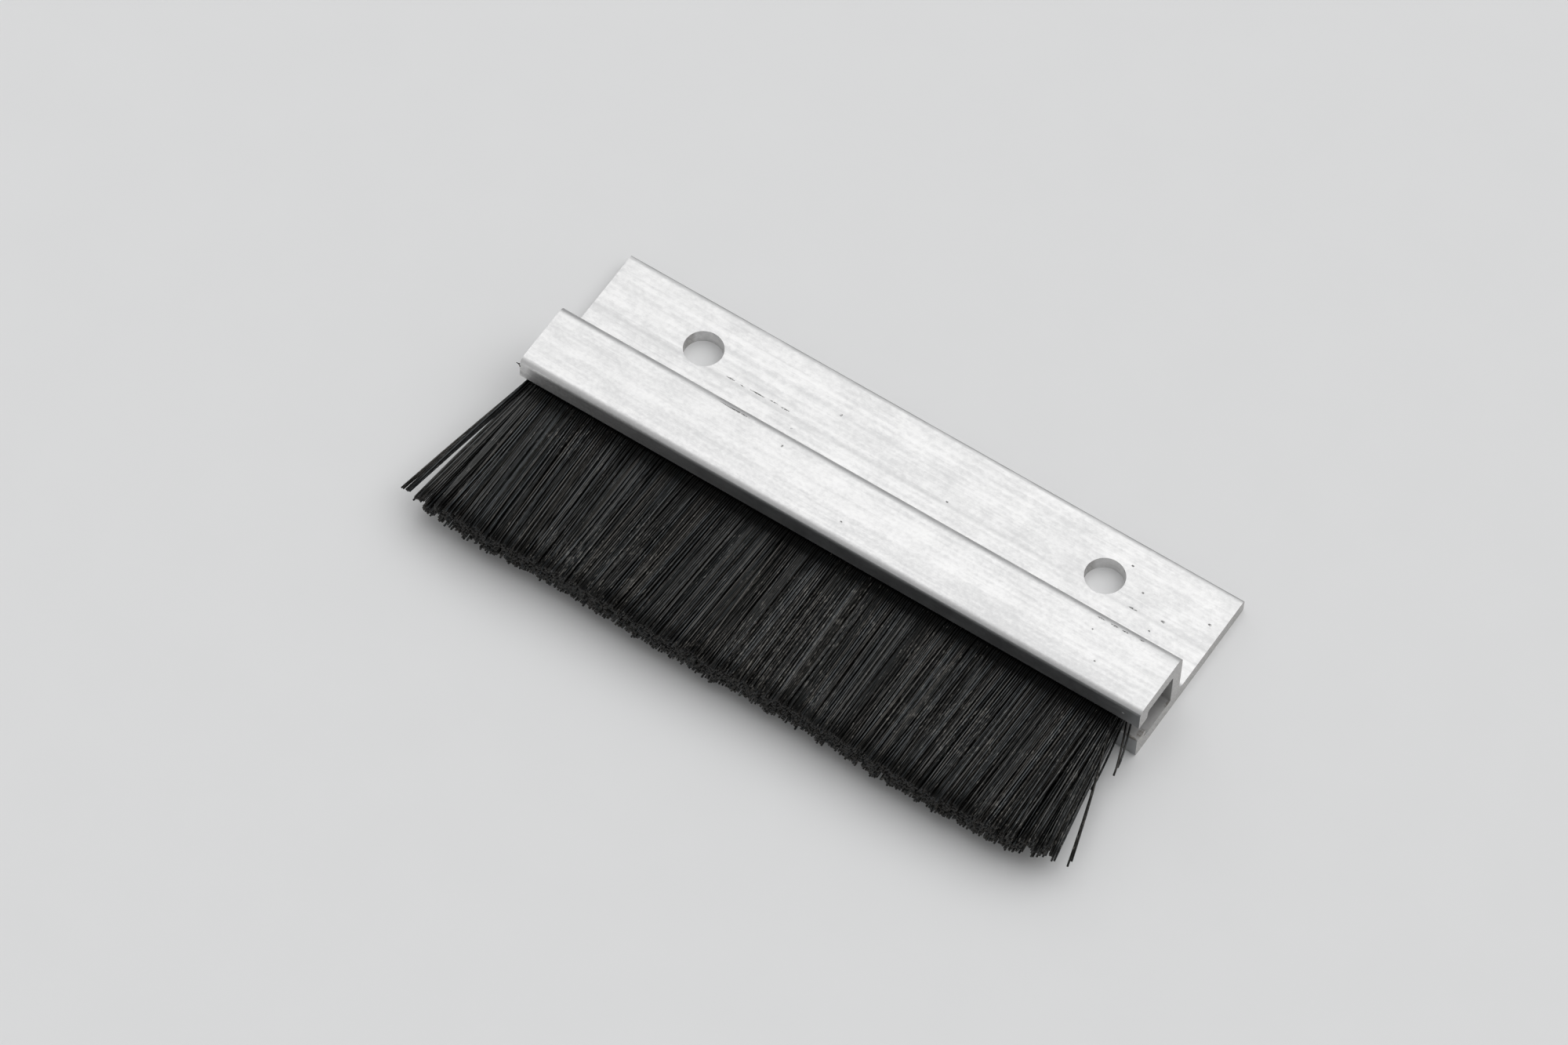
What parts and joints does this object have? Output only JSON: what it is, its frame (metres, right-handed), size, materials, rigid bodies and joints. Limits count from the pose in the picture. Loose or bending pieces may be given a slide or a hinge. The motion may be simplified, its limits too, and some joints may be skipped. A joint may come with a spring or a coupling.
{
  "type": "door sweep",
  "caption": "Short brush door sweep: a strip brush with black filaments held in an extruded aluminium channel that has a drilled screw flange.",
  "frame": {"origin": "midway between the two screw holes, on the flange's flat underside", "axes": "+X along the extrusion, -Y the way the filaments point out of the channel, +Z out of the flange's underside towards the channel's top"},
  "size_m": [0.1067, 0.0514, 0.011],
  "materials": {
    "aluminium": "raw mill extrusion, satin with fine lengthwise lines",
    "galvanised_steel": "galvanised sheet, dull",
    "wire": "drawn wire, bright",
    "filament": "extruded black filament, low sheen"
  },
  "bodies": {
    "holder": {"holder": "aluminium"},
    "insert": {"steel_channel": "galvanised_steel", "core_wire": "wire", "left_tuft_root": "filament", "bundle_1_root": "filament", "bundle_2_root": "filament", "bundle_3_root": "filament", "bundle_4_root": "filament", "bundle_5_root": "filament", "bundle_6_root": "filament", "bundle_7_root": "filament", "bundle_8_root": "filament", "right_tuft_root": "filament"},
    "curtain": {"left_tuft": "filament", "bundle_1": "filament", "bundle_2": "filament", "bundle_3": "filament", "bundle_4": "filament", "bundle_5": "filament", "bundle_6": "filament", "bundle_7": "filament", "bundle_8": "filament", "right_tuft": "filament", "stray_filaments": "filament"}
  },
  "joints": [
    {"name": "insert_slide", "type": "slide", "parent": "holder", "child": "insert", "axis": [1, 0, 0], "range_m": [-0.1, 0.1]},
    {"name": "curtain_flex", "type": "hinge", "parent": "insert", "child": "curtain", "pos_m": [0, -0.0222, 0.0055], "axis": [1, 0, 0], "range_deg": [-35, 35], "stiffness_Nm_per_rad": 0.06}
  ]
}
